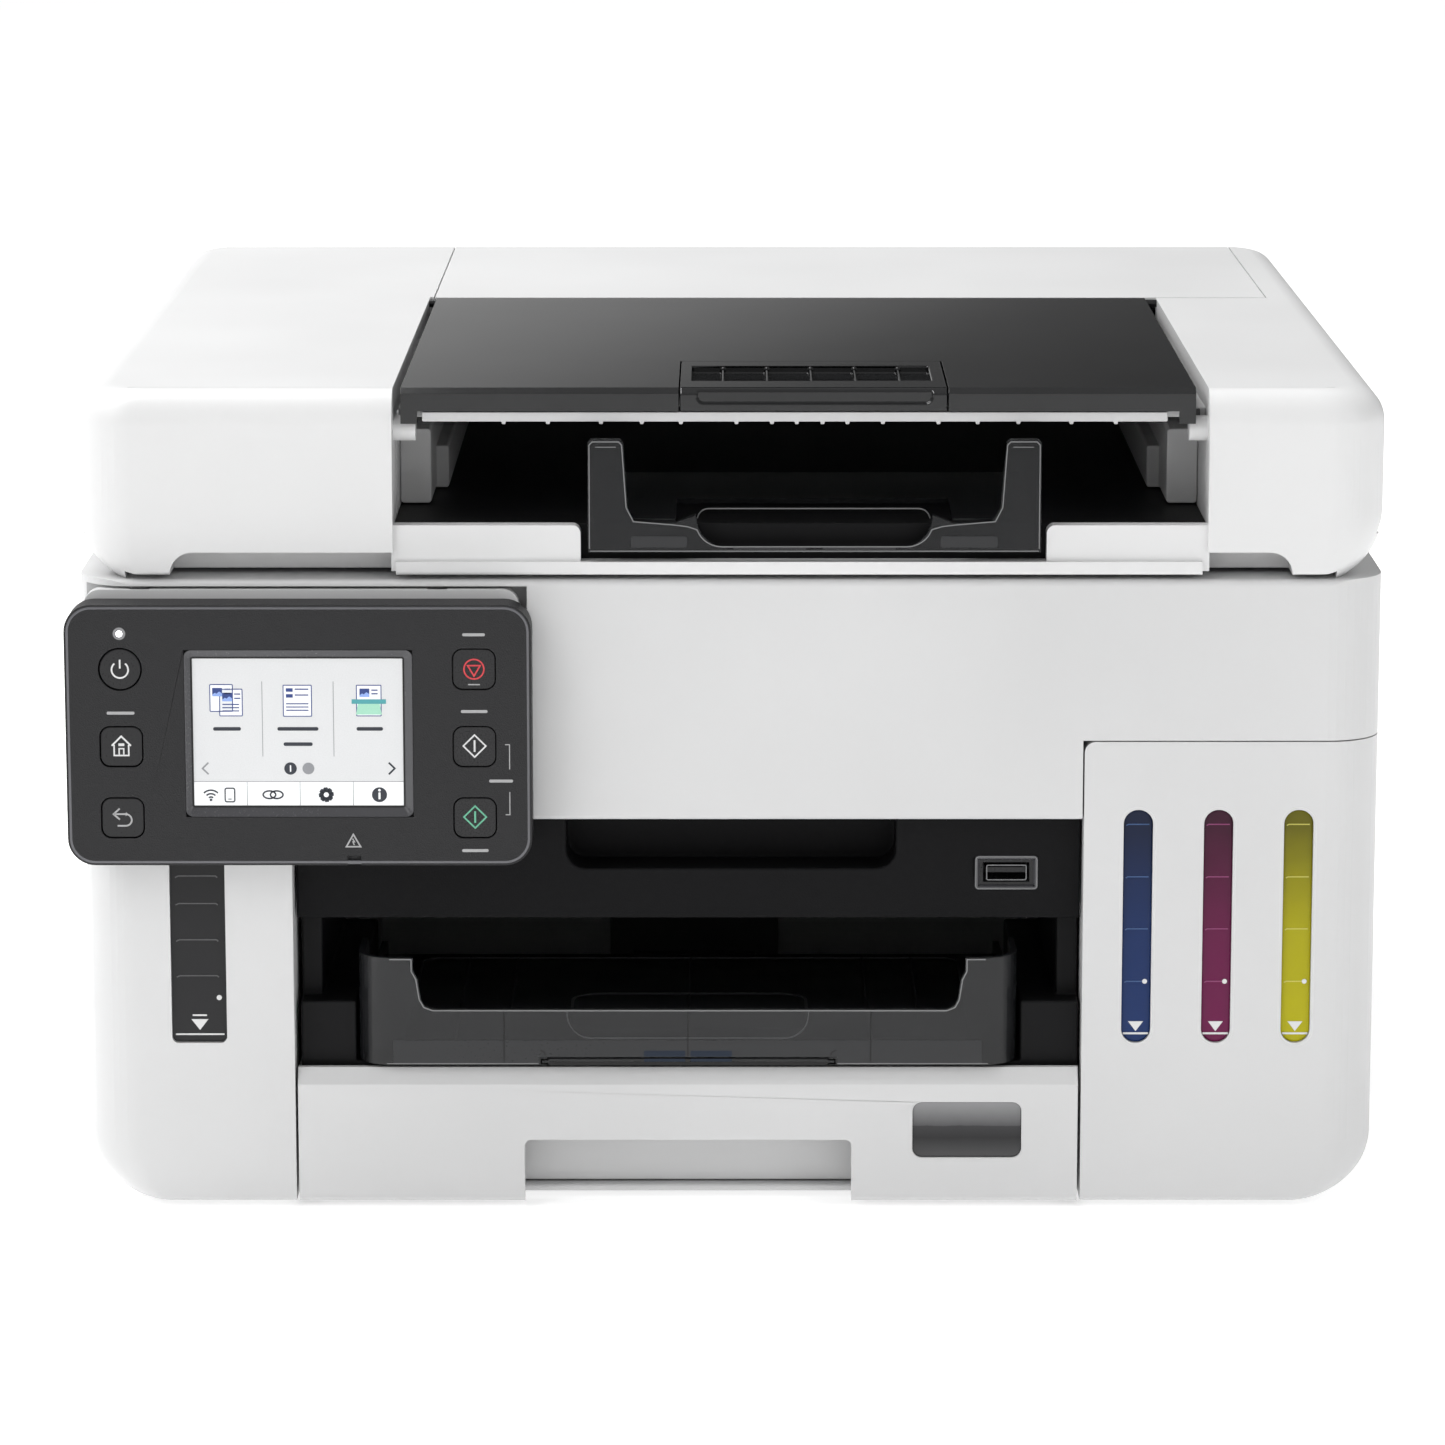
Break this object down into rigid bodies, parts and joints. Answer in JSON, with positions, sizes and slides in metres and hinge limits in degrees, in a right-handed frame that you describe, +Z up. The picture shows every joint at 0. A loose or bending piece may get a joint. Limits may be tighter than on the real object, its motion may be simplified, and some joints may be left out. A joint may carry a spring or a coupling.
{
  "type": "inkjet printer",
  "caption": "Multifunction ink tank printer with a flatbed scanner, document feeder, tilting operation panel, front cassette and smoked output tray.",
  "frame": {"origin": "bottom centre of the whole printer at rest, on the surface it stands on", "axes": "+Z up, -Y to the front (cassette, panel and ink windows), +X to the right seen from the front"},
  "size_m": [0.399, 0.41, 0.254],
  "materials": {
    "white_plastic": "moulded, fine texture",
    "cover_plastic": "moulded, fine texture",
    "black_plastic": "moulded, grained",
    "gray_plastic": "moulded",
    "key_plastic": "polished",
    "smoked_plastic": "smoked, see-through",
    "tank_plastic": "see-through",
    "ink": "liquid",
    "rubber_part": "rubber",
    "steel_sheet": "zinc plated",
    "steel_shaft": "ground",
    "glass_plate": "float glass",
    "screen_glass": "display",
    "circuit_board": "solder mask",
    "foam_pad": "foam backed sheet"
  },
  "bodies": {
    "base": {"base_frame": "gray_plastic", "left_case": "white_plastic", "right_case": "white_plastic", "rear_case": "white_plastic", "front_bezel": "black_plastic", "slot_surround": "black_plastic", "usb_port": "steel_sheet", "feet": "rubber_part", "black_tank": "tank_plastic", "color_tanks": "tank_plastic", "tank_caps": "rubber_part", "inks": "ink", "ink_tubes": "rubber_part", "print_chassis": "steel_sheet", "platen": "black_plastic", "guide_shaft": "steel_shaft", "drive_belt": "rubber_part", "carriage_motor": "steel_sheet", "maintenance_cartridge": "gray_plastic", "power_supply": "gray_plastic", "main_board": "circuit_board", "power_inlet": "black_plastic"},
    "carriage": {"print_carriage": "black_plastic"},
    "pulley": {"belt_pulley": "steel_sheet"},
    "feed": {"feed_roller": "steel_shaft"},
    "eject": {"eject_roller": "steel_shaft"},
    "pickup": {"pickup_roller": "rubber_part"},
    "jam_cover": {"rear_cover": "white_plastic"},
    "paper_cassette": {"cassette": "white_plastic", "cassette_window": "smoked_plastic"},
    "left_guide": {"paper_guide_left": "gray_plastic"},
    "right_guide": {"paper_guide_right": "gray_plastic"},
    "end_guide": {"paper_end_guide": "gray_plastic"},
    "print_tray": {"output_tray": "smoked_plastic"},
    "print_extension": {"output_extension": "smoked_plastic"},
    "scanner": {"scanner_case": "white_plastic", "scan_glass": "glass_plate", "scan_rail": "steel_shaft"},
    "scanning_bar": {"scan_bar": "black_plastic"},
    "panel": {"operation_panel": "black_plastic", "panel_housing": "white_plastic", "lcd": "screen_glass"},
    "key_power": {"power_button": "key_plastic"},
    "key_home": {"home_button": "key_plastic"},
    "key_back": {"back_button": "key_plastic"},
    "key_stop": {"stop_button": "key_plastic"},
    "key_black": {"black_start_button": "key_plastic"},
    "key_color": {"color_start_button": "key_plastic"},
    "document_cover": {"cover_frame": "cover_plastic", "pressing_pad": "foam_pad", "output_floor": "black_plastic", "input_deck": "cover_plastic"},
    "stopper": {"output_stopper": "smoked_plastic"},
    "left_document_guide": {"document_guide_left": "gray_plastic"},
    "right_document_guide": {"document_guide_right": "gray_plastic"},
    "tray_lid": {"tray_cover": "smoked_plastic"},
    "tray_draw": {"tray_extension": "smoked_plastic"},
    "feeder_lid": {"feeder_cover": "cover_plastic"},
    "document_pickup": {"adf_pickup_roller": "rubber_part"},
    "document_feed": {"adf_feed_roller": "rubber_part"}
  },
  "joints": [
    {"name": "scanner_lift", "type": "hinge", "parent": "base", "child": "scanner", "pos_m": [0, 0.199, 0.1468], "axis": [-1, 0, 0], "range_deg": [0, 40]},
    {"name": "cover_lift", "type": "hinge", "parent": "scanner", "child": "document_cover", "pos_m": [0, 0.199, 0.19725], "axis": [-1, 0, 0], "range_deg": [0, 65]},
    {"name": "feeder_lid_lift", "type": "hinge", "parent": "document_cover", "child": "feeder_lid", "pos_m": [0, 0.199, 0.2435], "axis": [-1, 0, 0], "range_deg": [0, 60]},
    {"name": "tray_lid_lift", "type": "hinge", "parent": "document_cover", "child": "tray_lid", "pos_m": [0, 0.034, 0.2526], "axis": [-1, 0, 0], "range_deg": [0, 88]},
    {"name": "tray_draw_slide", "type": "slide", "parent": "tray_lid", "child": "tray_draw", "axis": [0, -1, 0], "range_m": [0, 0.06]},
    {"name": "stopper_slide", "type": "slide", "parent": "document_cover", "child": "stopper", "axis": [0, -1, 0], "range_m": [0, 0.055]},
    {"name": "document_guide_slide", "type": "slide", "parent": "document_cover", "child": "left_document_guide", "axis": [1, 0, 0], "range_m": [0, 0.06]},
    {"name": "document_guide_mirror", "type": "slide", "parent": "document_cover", "child": "right_document_guide", "axis": [-1, 0, 0], "range_m": [0, 0.06]},
    {"name": "document_feed_turn", "type": "hinge", "parent": "document_cover", "child": "document_feed", "pos_m": [0, 0.11, 0.222], "axis": [1, 0, 0], "continuous": true},
    {"name": "document_pickup_turn", "type": "hinge", "parent": "document_cover", "child": "document_pickup", "pos_m": [0, 0.056, 0.2446], "axis": [1, 0, 0], "continuous": true},
    {"name": "panel_tilt", "type": "hinge", "parent": "scanner", "child": "panel", "pos_m": [0, -0.191, 0.188], "axis": [-1, 0, 0], "range_deg": [0, 45]},
    {"name": "press_power", "type": "slide", "parent": "panel", "child": "key_power", "axis": [0, 1, 0], "range_m": [0, 0.0008], "stiffness_N_per_m": 700, "springref_m": -0.0005},
    {"name": "press_home", "type": "slide", "parent": "panel", "child": "key_home", "axis": [0, 1, 0], "range_m": [0, 0.0008], "stiffness_N_per_m": 700, "springref_m": -0.0005},
    {"name": "press_back", "type": "slide", "parent": "panel", "child": "key_back", "axis": [0, 1, 0], "range_m": [0, 0.0008], "stiffness_N_per_m": 700, "springref_m": -0.0005},
    {"name": "press_stop", "type": "slide", "parent": "panel", "child": "key_stop", "axis": [0, 1, 0], "range_m": [0, 0.0008], "stiffness_N_per_m": 700, "springref_m": -0.0005},
    {"name": "press_black", "type": "slide", "parent": "panel", "child": "key_black", "axis": [0, 1, 0], "range_m": [0, 0.0008], "stiffness_N_per_m": 700, "springref_m": -0.0005},
    {"name": "press_color", "type": "slide", "parent": "panel", "child": "key_color", "axis": [0, 1, 0], "range_m": [0, 0.0008], "stiffness_N_per_m": 700, "springref_m": -0.0005},
    {"name": "scan_travel", "type": "slide", "parent": "scanner", "child": "scanning_bar", "axis": [0, -1, 0], "range_m": [0, 0.3]},
    {"name": "carriage_travel", "type": "slide", "parent": "base", "child": "carriage", "axis": [-1, 0, 0], "range_m": [0, 0.236]},
    {"name": "pulley_turn", "type": "hinge", "parent": "base", "child": "pulley", "pos_m": [-0.158, 0, 0.12], "axis": [0, -1, 0], "continuous": true},
    {"name": "feed_turn", "type": "hinge", "parent": "base", "child": "feed", "pos_m": [0, 0.038, 0.09], "axis": [1, 0, 0], "continuous": true},
    {"name": "eject_turn", "type": "hinge", "parent": "base", "child": "eject", "pos_m": [0, -0.044, 0.088], "axis": [1, 0, 0], "continuous": true},
    {"name": "pickup_turn", "type": "hinge", "parent": "base", "child": "pickup", "pos_m": [0, 0.096, 0.048], "axis": [1, 0, 0], "continuous": true},
    {"name": "jam_cover_tilt", "type": "hinge", "parent": "base", "child": "jam_cover", "pos_m": [0, 0.20375, 0.0718], "axis": [-1, 0, 0], "range_deg": [0, 60]},
    {"name": "cassette_slide", "type": "slide", "parent": "base", "child": "paper_cassette", "axis": [0, -1, 0], "range_m": [0, 0.25]},
    {"name": "paper_guide_slide", "type": "slide", "parent": "paper_cassette", "child": "left_guide", "axis": [1, 0, 0], "range_m": [0, 0.05]},
    {"name": "paper_guide_mirror", "type": "slide", "parent": "paper_cassette", "child": "right_guide", "axis": [-1, 0, 0], "range_m": [0, 0.05]},
    {"name": "end_guide_slide", "type": "slide", "parent": "paper_cassette", "child": "end_guide", "axis": [0, -1, 0], "range_m": [0, 0.06]},
    {"name": "print_tray_slide", "type": "slide", "parent": "base", "child": "print_tray", "axis": [0, -1, 0], "range_m": [0, 0.08]},
    {"name": "print_extension_slide", "type": "slide", "parent": "print_tray", "child": "print_extension", "axis": [0, -1, 0], "range_m": [0, 0.07]}
  ],
  "couplings": [
    {"joint": "document_guide_mirror", "follows": "document_guide_slide", "ratio": 1},
    {"joint": "paper_guide_mirror", "follows": "paper_guide_slide", "ratio": 1},
    {"joint": "pulley_turn", "follows": "carriage_travel", "rad_per_m": 142.86},
    {"joint": "eject_turn", "follows": "feed_turn", "ratio": 1.1538},
    {"joint": "pickup_turn", "follows": "feed_turn", "ratio": 0.6},
    {"joint": "document_pickup_turn", "follows": "document_feed_turn", "ratio": 2.1667}
  ]
}
